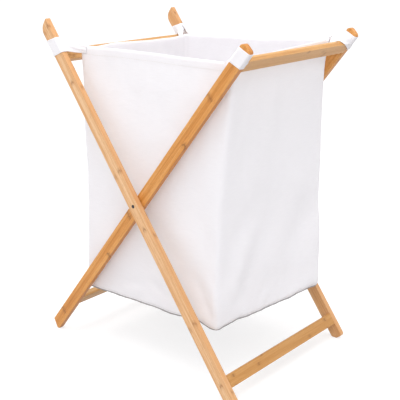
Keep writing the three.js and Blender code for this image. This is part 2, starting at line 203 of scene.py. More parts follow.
@dataclass(frozen=True)
class BambooFinish:
    """Strip bamboo, glued from strips and sanded, under satin lacquer.

    The eye sees straight fibres, strips that differ a little in tone, fine glue lines between them,
    and the faint brown scar where a strip crosses a joint of the culm. On the cut ends the fibres
    show as dots.
    """

    bar: Bar
    pale: str
    mid: str
    deep: str
    scar: str
    offset: float
    lean: float
    pivot_height: float
    strip_width: float = 8.35 * MM
    strip_depth: float = 6.3 * MM
    glue_line: float = 0.35 * MM
    scar_spacing: float = 330 * MM
    scar_fade: tuple[float, float] = (0.4 * MM, 3.4 * MM)
    halo_fade: tuple[float, float] = (1.0 * MM, 10.0 * MM)
    chevron: float = 3.2 * MM
    scar_wave: float = 8 * MM
    fibre_width: float = 0.9 * MM
    fibre_length: float = 55 * MM
    fleck_width: float = 1.1 * MM
    fleck_length: float = 13 * MM
    strip_contrast: float = 0.38
    band_contrast: float = 0.7
    fibre_contrast: float = 0.75

    def _coordinates(self, add: AddNode) -> Node:
        """Turns object coordinates so that Z runs along the bar and X across its wide face.

        Args:
            add: Adds a node to the material.

        Returns:
            The node that gives the turned coordinates.
        """
        turn, height = self.lean, self.pivot_height
        turned = add("ShaderNodeMapping", {
            "Rotation": (0.0, turn, 0.0),
            "Location": (-height * math.sin(turn), 0.0, -height * math.cos(turn)),
            "Vector": add("ShaderNodeTexCoord").outputs["Object"]})
        if self.bar in (Bar.OUTER_RAIL, Bar.INNER_RAIL):
            turned = add("ShaderNodeMapping", {
                "Rotation": (math.pi / 2, 0.0, 0.0), "Vector": turned})
        return add("ShaderNodeMapping", {
            "Location": (0.5 * self.strip_width, self.strip_depth * self.offset, self.offset),
            "Vector": turned})

    def _from_middle(self, add: AddNode, place: Node) -> Node:
        """Makes the distance from the middle of a cell, from 0 to 0.5.

        Args:
            add: Adds a node to the material.
            place: The place, in cells.

        Returns:
            The node that gives the distance.
        """
        part = add("ShaderNodeMath", {"operation": "FRACT", 0: place})
        middle = add("ShaderNodeMath", {"operation": "SUBTRACT", 0: part, 1: 0.5})
        return add("ShaderNodeMath", {"operation": "ABSOLUTE", 0: middle})

    def build(self) -> Material:
        """Makes the material.

        Returns:
            The finished material.
        """
        material, add = new_material(f"strip_bamboo_{self.bar.value}")
        along = self._coordinates(add)
        split = add("ShaderNodeSeparateXYZ", {"Vector": along})
        x_cell, y_cell = (
            add("ShaderNodeMath", {"operation": "DIVIDE", 0: split.outputs[axis], 1: size})
            for axis, size in (("X", self.strip_width), ("Y", self.strip_depth)))
        x_whole, y_whole = (
            add("ShaderNodeMath", {"operation": "FLOOR", 0: cell}) for cell in (x_cell, y_cell))
        cell = add("ShaderNodeCombineXYZ", {"X": x_whole, "Y": y_whole, "Z": 10 * self.offset})
        chance = add("ShaderNodeTexWhiteNoise", {"noise_dimensions": "3D", "Vector": cell})
        strip = add("ShaderNodeSeparateColor", {"Color": chance.outputs["Color"]})

        # Fibres, and bands of them, are noise drawn out along the bar
        streaks = []
        for coarse, detail in ((1.0, 4.0), (5.0, 2.0)):
            across = 1 / (coarse * self.fibre_width)
            drawn = add("ShaderNodeMapping", {
                "Scale": (across, across, 1 / (math.sqrt(coarse) * self.fibre_length)),
                "Vector": along})
            streaks.append(add("ShaderNodeTexNoise", {
                "Scale": 1.0, "Detail": detail, "Roughness": 0.6, "Vector": drawn}))
        fibre, band = streaks

        # Tone: each strip has its own, and the fibres run through it
        tone = add("ShaderNodeMath", {
            "operation": "MULTIPLY_ADD", 0: strip.outputs["Red"], 1: self.strip_contrast,
            2: -self.strip_contrast / 2})
        for streak, contrast in ((band, self.band_contrast), (fibre, self.fibre_contrast)):
            tone = add("ShaderNodeMath", {
                "operation": "MULTIPLY_ADD", 0: streak, 1: contrast, 2: tone})
        hue = add("ShaderNodeValToRGB", {"Fac": tone})
        stops = hue.color_ramp.elements
        stops[0].position, stops[0].color = 0.46, linear(self.deep)
        stops[1].position, stops[1].color = 1.0, linear(self.pale)
        stops.new(0.72).color = linear(self.mid)

        # Marks: dark fibre bundles, glue lines, and joint scars with a halo. Each has what it
        # follows, where it is full and where it is gone, its odds, its colour and its strength
        bundle = add("ShaderNodeTexVoronoi", {"Scale": 1.0, "Vector": add("ShaderNodeMapping", {
            "Scale": (1 / self.fleck_width, 1 / self.fleck_width, 1 / self.fleck_length),
            "Vector": along})})
        side = self._from_middle(add, x_cell)
        phase = split.outputs["Z"]
        for value, share, rest in ((side, 2 * self.chevron, None), (band, self.scar_wave, None),
                                   (None, 1 / self.scar_spacing, strip.outputs["Green"])):
            phase = add("ShaderNodeMath", {
                "operation": "MULTIPLY_ADD", 0: value or phase, 1: share, 2: rest or phase})
        far = self._from_middle(add, phase)
        line = 0.5 * self.glue_line / self.strip_width
        scar, halo = ([reach / self.scar_spacing for reach in fade]
                      for fade in (self.scar_fade, self.halo_fade))
        marks = (
            (bundle, (0.12, 0.36), 1.0, self.scar, 0.34),
            (side, (0.5 - line * 0.4, 0.5 - line * 2.4), 1.0, self.deep, 0.5),
            (far, halo, 1.0, self.scar, 0.3),
            (far, scar, strip.outputs["Blue"], self.scar, 0.62),
        )
        for value, (full, none), odds, ink, strength in marks:
            eased_mark = add("ShaderNodeMapRange", {
                "interpolation_type": "SMOOTHSTEP", "From Min": full, "From Max": none,
                "To Min": 1.0, "To Max": 0.0, "Value": value})
            mark = add("ShaderNodeMath", {"operation": "MULTIPLY", 0: eased_mark, 1: odds})
            weak = add("ShaderNodeMath", {"operation": "MULTIPLY", 0: mark, 1: strength})
            hue = add("ShaderNodeMix", {
                "data_type": "RGBA", 0: weak, 6: hue, 7: linear(ink)}).outputs[2]

        # Surface: satin lacquer over sanded fibres, sunk a little at the scars
        relief = add("ShaderNodeMath", {"operation": "MULTIPLY_ADD", 0: mark, 1: -0.3, 2: fibre})
        lay_surface(add, {
            "Base Color": hue,
            "Roughness": add("ShaderNodeMapRange", {
                "To Min": 0.38, "To Max": 0.56, "Value": fibre}),
            "Normal": add("ShaderNodeBump", {
                "Strength": 0.2, "Distance": 0.25 * MM, "Height": relief}),
            "IOR": 1.48, "Coat Weight": 0.1, "Coat Roughness": 0.3})
        return material


@dataclass(frozen=True)
class CanvasFinish:
    """Plain-woven cotton canvas, bleached and washed.

    The eye sees a matt cloth with a fine square weave, thicker yarns here and there, and soft
    crumples left by folding. A little light passes through it, so the inside of the bag stays pale.
    The weave is drawn about twice as coarse as real canvas so that it shows.
    """

    name: str = "cotton_canvas"
    light: str = "#F7F5F7"
    shade: str = "#EFECEF"
    thread_pitch: float = 1.1 * MM
    slub_length: float = 22 * MM
    crumple: float = 55 * MM
    weave_relief: float = 0.2 * MM
    crumple_relief: float = 4.0 * MM
    scatter: float = 2.5 * MM
    through: float = 0.3

    def build(self) -> Material:
        """Makes the material.

        Returns:
            The finished material.
        """
        material, add = new_material(self.name)
        cloth = add("ShaderNodeUVMap", {"uv_map": "cloth"})
        threads_x, threads_y = (add("ShaderNodeTexWave", {
            "wave_type": "BANDS", "bands_direction": way, "wave_profile": "SIN",
            "Scale": math.pi / (10 * self.thread_pitch), "Distortion": 0.6, "Detail": 1.0,
            "Vector": cloth}).outputs["Fac"] for way in "XY")
        weave = add("ShaderNodeMath", {"operation": "MULTIPLY", 0: threads_x, 1: threads_y})
        drawn = add("ShaderNodeMapping", {
            "Scale": (1 / self.slub_length, 1 / self.thread_pitch, 1.0), "Vector": cloth})
        slub = add("ShaderNodeTexNoise", {"Scale": 1.0, "Detail": 2.0, "Vector": drawn})
        crumple = add("ShaderNodeTexNoise", {
            "Scale": 1 / self.crumple, "Detail": 3.0, "Roughness": 0.5, "Distortion": 0.6,
            "Vector": add("ShaderNodeTexCoord").outputs["Object"]})
        height = add("ShaderNodeMath", {"operation": "MULTIPLY_ADD", 0: slub, 1: 0.5, 2: weave})
        fine = add("ShaderNodeBump", {
            "Strength": 0.2, "Distance": self.weave_relief, "Height": height})
        lay_surface(add, {
            "Base Color": add("ShaderNodeMix", {
                "data_type": "RGBA", 0: slub, 6: linear(self.light),
                7: linear(self.shade)}).outputs[2],
            "Normal": add("ShaderNodeBump", {
                "Strength": 0.35, "Distance": self.crumple_relief, "Height": crumple,
                "Normal": fine}),
            "Roughness": 0.92, "Sheen Weight": 0.12, "Sheen Roughness": 0.5,
            "Specular IOR Level": 0.2, "Subsurface Weight": self.through,
            "Subsurface Radius": (1.0, 1.0, 1.0), "Subsurface Scale": self.scatter})
        return material


@dataclass(frozen=True)
class ThreadFinish:
    """Spun polyester sewing thread: a soft gloss and a fine twist, with painted shade in the
    hollows of the twist.
    """

    name: str = "sewing_thread"
    hue: str = "#EFEBE6"
    hollow: str = "#D8D2CA"
    twist: float = 0.5 * MM

    def build(self) -> Material:
        """Makes the material.

        Returns:
            The finished material.
        """
        material, add = new_material(self.name)
        twist = add("ShaderNodeTexWave", {
            "wave_type": "BANDS", "bands_direction": "DIAGONAL", "Scale": 0.3 / self.twist,
            "Vector": add("ShaderNodeTexCoord").outputs["Object"]}).outputs["Fac"]
        # The twist's hollows take the hollow colour, as painted shade
        lay_surface(add, {
            "Base Color": add("ShaderNodeMix", {
                "data_type": "RGBA", 0: twist, 6: linear(self.hollow),
                7: linear(self.hue)}).outputs[2],
            "Normal": add("ShaderNodeBump", {
                "Strength": 0.3, "Distance": 0.1 * MM, "Height": twist}),
            "Roughness": 0.6})
        return material


@dataclass(frozen=True)
class CloudedFinish:
    """A quiet surface with a faint cloud in it.

    It serves for turned beech and moulded nylon, and for steel with a black oxide skin, a dark
    metal that is worn brighter in fine clouds.
    """

    name: str
    hue: str
    cloud: str
    roughness: tuple[float, float]
    size: float = 6 * MM
    stretch: float = 1.0
    detail: float = 3.0
    metallic: float = 0.0

    def build(self) -> Material:
        """Makes the material.

        Returns:
            The finished material.
        """
        material, add = new_material(self.name)
        turned = add("ShaderNodeMapping", {
            "Scale": (1.0, 1.0 / self.stretch, 1.0),
            "Vector": add("ShaderNodeTexCoord").outputs["Object"]})
        clouds = add("ShaderNodeTexNoise", {
            "Scale": 1 / self.size, "Detail": self.detail, "Vector": turned})
        smooth, rough = self.roughness
        lay_surface(add, {
            "Base Color": add("ShaderNodeMix", {
                "data_type": "RGBA", 0: clouds, 6: linear(self.cloud),
                7: linear(self.hue)}).outputs[2],
            "Roughness": add("ShaderNodeMapRange", {
                "To Min": smooth, "To Max": rough, "Value": clouds}),
            "Metallic": self.metallic})
        return material


@dataclass
class FrameGeometry:
    """The crossed frames' sizes in metres, as the solids have them."""

    lean: float = math.radians(36.7)
    leg_width: float = 25 * MM
    leg_thickness: float = 12.5 * MM
    pivot_height: float = 340.943 * MM
    outer_width: float = 400 * MM
    inner_width: float = 371 * MM
    outer_rail: float = 343.9 * MM
    inner_rail: float = 380.6 * MM
    rail_height: float = 25 * MM

    def width(self, hung: Hung) -> float:
        """The outside width over a frame's legs."""
        return self.outer_width if hung is Hung.OUTER else self.inner_width

    def rail(self, hung: Hung) -> float:
        """How far up the leg from the pivot a frame's top rail is centred."""
        return self.outer_rail if hung is Hung.OUTER else self.inner_rail

    def leg_y(self, hung: Hung, side: Side) -> float:
        """Where the middle of a leg's thickness is along the pivot axis."""
        return side.value * (self.width(hung) - self.leg_thickness) / 2

    def place(self, hung: Hung, along: ndarray, across: ndarray, y: ndarray) -> ndarray:
        """Turns leg coordinates into the row frame.

        Args:
            hung: The frame.
            along: Distance up the leg from the pivot.
            across: Distance across the leg, towards its upper edge.
            y: Place along the pivot axis.

        Returns:
            One point in each row.
        """
        s, c = math.sin(self.lean), math.cos(self.lean)
        x = hung.value * (along * s - across * c)
        z = self.pivot_height + along * c + across * s
        return np.stack(np.broadcast_arrays(x, y, z), axis=-1)


def link(name: str, data: ID) -> Object:
    """Makes an object of some data and links it to the scene."""
    made = bpy.data.objects.new(name, data)
    bpy.context.scene.collection.objects.link(made)
    return made


def shade_smooth(made: Object) -> None:
    """Gives all of a mesh smooth shading."""
    made.data.polygons.foreach_set("use_smooth", [True] * len(made.data.polygons))
    made.data.update()


def make_mesh(name: str, points: ndarray, faces: list, material: Material,
              uvs: list | None = None) -> Object:
    """Makes a smooth-shaded mesh object with its place in its mesh.

    Args:
        name: The object's name.
        points: One vertex in each row, in metres.
        faces: Vertex numbers of each face, facing out.
        material: What it is made of.
        uvs: For each face, a cloth coordinate in metres for each corner.

    Returns:
        The new object, linked to the scene.
    """
    mesh = bpy.data.meshes.new(name)
    mesh.from_pydata([tuple(p) for p in points], [], faces)
    mesh.materials.append(material)
    if uvs is not None:
        layer = mesh.uv_layers.new(name="cloth")
        layer.data.foreach_set("uv", np.array(uvs, np.float32).ravel())
    made = link(name, mesh)
    shade_smooth(made)
    return made


def woven(rows: int, columns: int, pitch: tuple[float, float], closed: bool) -> tuple[list, list]:
    """Spreads cloth over a table of points.

    Args:
        rows: How many rows of points there are, each above the last.
        columns: How many points a row has.
        pitch: The cloth's length between two columns and between two rows.
        closed: Whether a row's end joins its start.

    Returns:
        The vertex numbers and the cloth coordinates of each face.
    """
    faces, uvs = [], []
    for row in range(rows - 1):
        for column in range(columns if closed else columns - 1):
            corners = ((row, column), (row, column + 1), (row + 1, column + 1), (row + 1, column))
            faces.append(tuple(r * columns + c % columns for r, c in corners))
            uvs.append([(c * pitch[0], r * pitch[1]) for r, c in corners])
    return faces, uvs


def thicken(made: Object, thickness: float, offset: float) -> Modifier:
    """Gives a single layer of cloth its thickness.

    Args:
        made: The layer.
        thickness: The cloth's thickness.
        offset: 0 for a wall about the layer, and 1 for a wall outside it.

    Returns:
        The live modifier.
    """
    wall = made.modifiers.new("wall", "SOLIDIFY")
    wall.thickness = thickness
    wall.offset = offset
    wall.use_even_offset = False
    return wall


def settle(made: Object) -> None:
    """Turns an object's live modifiers into plain mesh."""
    bpy.context.view_layer.update()
    graph = bpy.context.evaluated_depsgraph_get()
    mesh = bpy.data.meshes.new_from_object(
        made.evaluated_get(graph), preserve_all_data_layers=True, depsgraph=graph)
    made.modifiers.clear()
    old, made.data = made.data, mesh
    mesh.name = made.name
    bpy.data.meshes.remove(old)


def face_out(made: Object) -> None:
    """Recalculates a closed shell's normals to point out."""
    shell = bmesh.new()
    shell.from_mesh(made.data)
    bmesh.ops.remove_doubles(shell, verts=shell.verts, dist=1e-6)
    bmesh.ops.recalc_face_normals(shell, faces=shell.faces)
    shell.to_mesh(made.data)
    shell.free()
    shade_smooth(made)


@dataclass
class CrossedFrames:
    """The bamboo frames and their fittings: solids that stay, and take their finishes here."""

    geometry: FrameGeometry

    def dress(self) -> None:
        """Gives every solid of the frames its material."""
        honey = ("#E2B47B", "#D19C5B", "#BD8440", "#8A5523")
        hues = {
            Bar.OUTER_LEG: ("#EFC79A", "#E1AE7A", "#CF9358", "#985F2C", 0.131),
            Bar.INNER_LEG: ("#E5AA63", "#D69043", "#C1782C", "#824A1A", 0.273),
            Bar.OUTER_RAIL: (*honey, 0.047),
            Bar.INNER_RAIL: (*honey, 0.389),
        }
        finishes = {}
        for bar, given in hues.items():
            way = 1 if bar in (Bar.OUTER_LEG, Bar.OUTER_RAIL) else -1
            finishes[bar.value] = BambooFinish(
                bar, *given, way * self.geometry.lean, self.geometry.pivot_height).build()
        beech = CloudedFinish(
            "turned_beech", "#DDBD8D", "#C9A572", (0.6, 0.6), size=1.2 * MM, stretch=8.0).build()
        steel = CloudedFinish(
            "black_oxide_steel", "#2E2E31", "#5A5A5E", (0.25, 0.45), size=1.5 * MM, detail=4.0,
            metallic=1.0).build()
        nylon = CloudedFinish("moulded_nylon", "#EAE6DC", "#E1DCD0", (0.45, 0.45)).build()
        finishes |= {"outer_dowel": beech, "inner_dowel": beech, "pivot_bolt": steel,
                     "pivot_nut": steel, "pivot_washer": nylon}
        for name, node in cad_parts.items():
            for start, finish in finishes.items():
                if name.startswith(start):
                    node.data.materials.clear()
                    node.data.materials.append(finish)
                    log.info("%s takes %s", name, finish.name)


@dataclass
class StitchRow:
    """A row of straight stitches that follows a path, made with Geometry Nodes."""

    pitch: float = 4.6 * MM
    length: float = 3.4 * MM
    thread: float = 0.65 * MM
    jitter: float = 0.06
    seed: int = 7

    def _tree(self) -> tuple[NodeTree, dict[str, str]]:
        """Builds the node tree.

        Returns:
            The tree, and each named input's identifier.
        """
        tree = bpy.data.node_groups.new("stitch_row", "GeometryNodeTree")
        kinds = {"Path": "Geometry", "Pitch": "Float", "Stitch Length": "Float",
                 "Thread": "Float", "Jitter": "Float", "Seed": "Int", "Material": "Material"}
        names = {name: tree.interface.new_socket(
            name, in_out="INPUT", socket_type=f"NodeSocket{kind}").identifier
            for name, kind in kinds.items()}
        tree.interface.new_socket("Geometry", in_out="OUTPUT", socket_type="NodeSocketGeometry")
        add = partial(add_node, tree)
        given = add("NodeGroupInput").outputs
        points = add("GeometryNodeCurveToPoints", {
            "mode": "LENGTH", "Curve": add("GeometryNodeMeshToCurve", {"Mesh": given["Path"]}),
            "Length": given["Pitch"]})
        size = add("ShaderNodeCombineXYZ", {
            "X": given["Thread"], "Y": given["Thread"], "Z": given["Stitch Length"]})
        bead = add("GeometryNodeMeshUVSphere", {"Segments": 6, "Rings": 5, "Radius": 0.5})
        stitch = add("GeometryNodeTransform", {"Geometry": bead, "Scale": size})
        back = add("ShaderNodeMath", {"operation": "MULTIPLY", 0: given["Jitter"], 1: -1.0})
        low, high = (add("ShaderNodeCombineXYZ", dict.fromkeys("XYZ", reach))
                     for reach in (back, given["Jitter"]))
        shake = add("FunctionNodeRandomValue", {
            "data_type": "FLOAT_VECTOR", 0: low, 1: high, "Seed": given["Seed"]})
        placed = add("GeometryNodeInstanceOnPoints", {
            "Points": points, "Instance": stitch, "Rotation": points.outputs["Rotation"]})
        turned = add("GeometryNodeRotateInstances", {"Instances": placed, "Rotation": shake})
        real = add("GeometryNodeRealizeInstances", {"Geometry": turned})
        painted = add("GeometryNodeSetMaterial", {
            "Geometry": real, "Material": given["Material"]})
        add("NodeGroupOutput", {0: painted})
        return tree, names

    def sew(self, name: str, paths: list[Row], thread: Material) -> Object:
        """Sews one or more rows.

        Args:
            name: The new object's name.
            paths: Each row's points, and whether the row closes on itself.
            thread: The thread's material.

        Returns:
            One plain mesh that holds every stitch.
        """
        points, edges = [], []
        for path, closed in paths:
            first = len(points)
            points.extend(tuple(p) for p in path)
            edges.extend((first + i, first + i + 1) for i in range(len(path) - 1))
            if closed:
                edges.append((first + len(path) - 1, first))
        mesh = bpy.data.meshes.new(name)
        mesh.from_pydata(points, edges, [])
        made = link(name, mesh)
        modifier = made.modifiers.new("stitches", "NODES")
        modifier.node_group, names = self._tree()
        sizes = {"Pitch": self.pitch, "Stitch Length": self.length, "Thread": self.thread,
                 "Jitter": self.jitter, "Seed": self.seed, "Material": thread}
        for key, value in sizes.items():
            modifier[names[key]] = value
        settle(made)
        shade_smooth(made)
        log.info("%s has %d faces", name, len(made.data.polygons))
        return made


@dataclass
class CanvasBag:
    """The bag: a sewn canvas box, open at the top, that hangs from its four corners and sags.

    Its lines are measured on the real bag, as pairs of a place and a value in millimetres. Heights
    count from the pivot, and x and y from the middle. A crease has two ends, and then its width and
    how far it stands out. A hollow is how far a wall hangs in, and a swell of the slack cloth has a
    size, a height and a shift of its noise.
    """

    geometry: FrameGeometry
    canvas: Material
    cells: tuple[int, int, int] = (38, 32, 52)
    cut: Point = (370 * MM, 320 * MM, 515 * MM)
    left_at: float = -172 * MM
    rough_width: float = 365 * MM
    corner_radius: float = 9 * MM
    floor_radius: float = 6 * MM
    cloth: float = 1.0 * MM
    hem_cloth: float = 2.2 * MM
    hem_rows: float = 1.5
    knot_ease: float = 12 * MM
    left_rim_share: float = 0.12
    foot_ripple: float = 0.9 * MM
    near_hollow: float = 4 * MM
    far_hollow: float = 4 * MM
    left_hollow: float = 5 * MM
    right_hollow: float = 4 * MM
    floor_sag: float = 3 * MM
    held_above: float = 0.965
    drape_steps: int = 24
    drape_cap: float = 4.5 * MM
    swells: tuple = ((95 * MM, 2.0 * MM, (3.1, 7.7, 1.3)), (38 * MM, 0.7 * MM, (9.2, 0.4, 5.5)))
    near_left: Line = (
        (-226, -174), (-168, -173.5), (-77, -171.5), (-32, -171), (11, -173), (54, -175),
        (97, -177.5), (139, -179.5), (203, -180), (239, -182), (264, -184.4), (291, -187))
    near_right: Line = (
        (-222, 184), (-156, 183), (-5, 182), (93, 189), (190, 196), (250, 199), (302, 198))
    far_left: Line = ((-222, -167), (-100, -167), (100, -169), (292, -172))
    far_right: Line = (
        (-213, 217), (-184, 216), (-161, 214), (-116, 211.5), (-72, 209), (-27, 206), (17, 205.5),
        (60, 204.5), (103, 203.8), (146, 202.2), (208, 202), (271, 202), (317, 209))
    near_rim: Line = (
        (-187, 294.5), (-167, 295), (-152, 293), (-127, 294), (-56, 297), (26, 298), (104, 298),
        (178, 299.4), (192, 300.3))
    far_rim: Line = (
        (-170, 292), (-46, 297.8), (34, 300.6), (110, 308.8), (134, 310.7), (205, 317.6))
    left_rim: Line = (
        (-160, 294.5), (-140, 291.2), (-116, 286.6), (-80, 289.4), (-55, 290.7), (-18, 289),
        (15, 288), (45, 286.7), (80, 287.4), (112, 286.8), (140, 289), (160, 292))
    near_foot: Line = (
        (-170, -226), (-74, -225), (10, -222.5), (75, -222.5), (139, -219), (165, -223),
        (184, -222))
    far_foot: Line = ((-170, -222), (0, -220), (210, -213))
    creases: tuple = (
        ((4, -160, -166), (34, -160, -178), 8, -3.0),
        ((34, -160, -178), (64, -160, -192), 7, -2.8),
        ((-60, -160, -204), (-10, -160, -196), 8, 2.8),
        ((118, -160, -120), (158, -160, -178), 13, -3.2),
        ((150, -160, -172), (176, -160, -206), 7, -2.8),
        ((183, -160, 262), (184, -160, 205), 6, -4.0),
        ((192, -58, -20), (188, -92, -100), 22, 4.0),
        ((188, -88, -90), (186, -122, -178), 20, 4.2),
        ((192, 150, 20), (188, 60, -150), 34, -4.6),
        ((190, -30, -212), (190, -8, -178), 7, 3.2),
        ((190, 20, -210), (190, 44, -170), 7, 3.4),
        ((190, 62, -206), (190, 76, -186), 6, 3.0),
        ((190, 98, -200), (190, 118, -158), 7, 3.2),
        ((190, 118, -206), (190, 140, -184), 7, -3.0),
        ((-168, -90, 250), (-168, -116, 205), 9, -3.0),
        ((60, 160, -150), (120, 160, -196), 12, -3.2),
        ((-120, 160, -190), (-60, 160, -176), 9, 3.0),
        ((-166, 40, -120), (-166, 110, -186), 12, -3.2),
    )
    points: ndarray | None = field(default=None, init=False)
    index: dict[tuple[int, int, int], int] = field(default_factory=dict, init=False)

    def _line(self, knots: Line, at: ndarray) -> ndarray:
        """Reads a measured line, with eased corners.

        Args:
            knots: The line, in millimetres.
            at: Places in metres.

        Returns:
            Values in metres.
        """
        where, value = np.array(knots).T * MM
        return soften(lambda spots: np.interp(spots, where, value), at, self.knot_ease)

    def _lattice(self) -> tuple[ndarray, list, list]:
        """Lays the cloth out on an open box of square cells.

        Returns:
            Vertex shares from 0 to 1 along each axis, faces that face out, and the cloth
            coordinates of each face.
        """
        nx, ny, nz = self.cells
        shares, faces, uvs = [], [], []

        def vertex(*spot: int) -> int:
            """Numbers a lattice vertex, making it the first time."""
            if spot not in self.index:
                self.index[spot] = len(shares)
                shares.append(tuple(n / count for n, count in zip(spot, self.cells)))
            return self.index[spot]

        def length(axis: int, number: int) -> float:
            """How far along an axis a cell's edge is."""
            return number / self.cells[axis] * self.cut[axis]

        # Each wall's cells: the axis that it runs along, and its left and right edge from outside
        upright = [(0, left, right) for i in range(nx) for left, right in (
            ((i, 0), (i + 1, 0)), ((i + 1, ny), (i, ny)))]
        upright += [(1, left, right) for j in range(ny) for left, right in (
            ((nx, j), (nx, j + 1)), ((0, j + 1), (0, j)))]
        for k in range(nz):
            low, high = length(2, k), length(2, k + 1)
            for axis, left, right in upright:
                faces.append((vertex(*left, k), vertex(*right, k), vertex(*right, k + 1),
                              vertex(*left, k + 1)))
                a, b = length(axis, left[axis]), length(axis, right[axis])
                uvs.append([(a, low), (b, low), (b, high), (a, high)])
        for i in range(nx):
            for j in range(ny):
                corners = ((i, j), (i, j + 1), (i + 1, j + 1), (i + 1, j))
                faces.append(tuple(vertex(*corner, 0) for corner in corners))
                uvs.append([(length(0, a), length(1, b)) for a, b in corners])
        return np.array(shares), faces, uvs

    def _rounded(self, shares: ndarray) -> ndarray:
        """Rounds the upright corners and the edges of the floor, still in shares of the box.

        Args:
            shares: Vertex shares on the sharp box.

        Returns:
            Vertex shares on the rounded box.
        """
        size = np.array(self.cut)
        p = shares * size
        flat = np.clip(p[:, :2], self.corner_radius, size[:2] - self.corner_radius)
        away = p[:, :2] - flat
        both = (np.abs(away) > TINY).all(axis=1)
        away[both] = unit(away[both]) * np.abs(away[both]).max(axis=1)[:, None]
        p[:, :2] = flat + away
        radius = self.floor_radius
        inner = np.clip(p[:, :2], radius, size[:2] - radius)
        out = p[:, :2] - inner
        span, down = np.linalg.norm(out, axis=1), radius - p[:, 2]
        bend = (span > TINY) & (down > TINY)
        share = (np.maximum(span, down)[bend] / np.hypot(span, down)[bend])[:, None]
        p[bend, :2] = inner[bend] + out[bend] * share
        p[bend, 2] = radius - down[bend] * share[:, 0]
        return p / size

    def _shape(self, shares: ndarray) -> ndarray:
        """Bends the box to the lines measured on the real bag.

        Args:
            shares: Vertex shares on the rounded box.

        Returns:
            One point in each row, in the row frame.
        """
        a, b, c = shares.T

        def between(near: Line, far: Line, at: ndarray) -> ndarray:
            """Runs a value from its near line to its far line."""
            return (1 - b) * self._line(near, at) + b * self._line(far, at)

        rough_x = self.left_at + a * self.rough_width
        y = (b - 0.5) * self.cut[1]
        rim = between(self.near_rim, self.far_rim, rough_x)
        by_left = np.clip(1 - a / self.left_rim_share, 0.0, 1.0) ** 2
        rim += by_left * (self._line(self.left_rim, y) - rim)
        ripple = np.sin(33 * b + 7 * a + 0.5) * np.sin(29 * a + 13 * b + 1.1)
        foot = between(self.near_foot, self.far_foot, rough_x) + self.foot_ripple * ripple
        z = foot + c * (rim - foot)
        left = between(self.near_left, self.far_left, z)
        right = between(self.near_right, self.far_right, z)
        points = np.stack([left + a * (right - left), y, z + self.geometry.pivot_height], axis=1)

        # Slack: the walls hang hollow, and the floor sags
        hollow = np.sin(np.pi * np.clip(c, 0, 1)) ** 0.8
        across_x, across_y = (np.sin(np.pi * share) ** 1.2 for share in (a, b))
        low, high, ground = 0.02, 0.98, 0.01
        slack = (
            (1, b < low, self.near_hollow, hollow * across_x),
            (1, b > high, -self.far_hollow, hollow * across_x),
            (0, a < low, self.left_hollow, hollow * across_y),
            (0, a > high, -self.right_hollow, hollow * across_y),
            (2, c < ground, -self.floor_sag, across_x * across_y),
        )
        for axis, there, depth, form in slack:
            points[:, axis] += there * depth * form
        return points

    def build(self) -> Object:
        """Builds the bag, lets it settle as cloth, and thickens it.

        Returns:
            The finished bag.
        """
        shares, faces, uvs = self._lattice()
        self.points = self._shape(self._rounded(shares))
        bag = make_mesh("canvas_bag", self.points, faces, self.canvas, uvs)
        self._drape(bag, shares)
        self._crease(bag)
        rim = bag.vertex_groups.new(name="hem")
        for number, height in enumerate(shares[:, 2]):
            in_hem = height >= 1 - self.hem_rows / self.cells[2] - 1e-6
            rim.add([number], 1.0 if in_hem else self.cloth / self.hem_cloth, "REPLACE")
        finer = bag.modifiers.new("finer", "SUBSURF")
        finer.levels = finer.render_levels = 1
        wall = thicken(bag, self.hem_cloth, 0.0)
        wall.vertex_group = "hem"
        wall.use_quality_normals = True
        settle(bag)
        bag.vertex_groups.clear()
        log.info("canvas_bag has %d faces", len(bag.data.polygons))
        return bag

    def _move_to(self, bag: Object, points: ndarray) -> None:
        """Moves the bag's vertices."""
        self.points = points
        bag.data.vertices.foreach_set("co", points.astype(np.float32).ravel())
        bag.data.update()

    def _drape(self, bag: Object, shares: ndarray) -> None:
        """Runs the cloth simulation that settles the bag, and caps how far it may move.

        Args:
            bag: The bag's single layer of cloth.
            shares: Its vertex shares on the sharp box.
        """
        held = bag.vertex_groups.new(name="held")
        high = [number for number, share in enumerate(shares[:, 2]) if share > self.held_above]
        held.add(high, 1.0, "REPLACE")
        cloth = bag.modifiers.new("settle", "CLOTH")
        settings = {
            "quality": 6, "mass": 0.005, "tension_stiffness": 60, "compression_stiffness": 60,
            "shear_stiffness": 20, "bending_stiffness": 0.5, "air_damping": 2.0,
            "shrink_min": -0.003, "vertex_group_mass": "held", "pin_stiffness": 6.0}
        for key, value in settings.items():
            setattr(cloth.settings, key, value)
        cloth.collision_settings.use_collision = False
        cloth.collision_settings.use_self_collision = False
        cloth.point_cache.frame_start = 1
        cloth.point_cache.frame_end = self.drape_steps
        scene = bpy.context.scene
        for step in range(1, self.drape_steps + 1):
            scene.frame_set(step)
        graph = bpy.context.evaluated_depsgraph_get()
        moved = np.array([v.co for v in bag.evaluated_get(graph).data.vertices])
        bag.modifiers.clear()
        bag.vertex_groups.clear()
        scene.frame_set(1)
        move = moved - self.points
        reach = np.linalg.norm(move, axis=1)
        log.info("cloth moved %.1f mm at most, %.1f on average", reach.max() / MM,
                 reach.mean() / MM)
        cap = self.drape_cap
        move *= (cap * np.tanh(reach / cap) / np.maximum(reach, TINY))[:, None]
        self._move_to(bag, self.points + move)

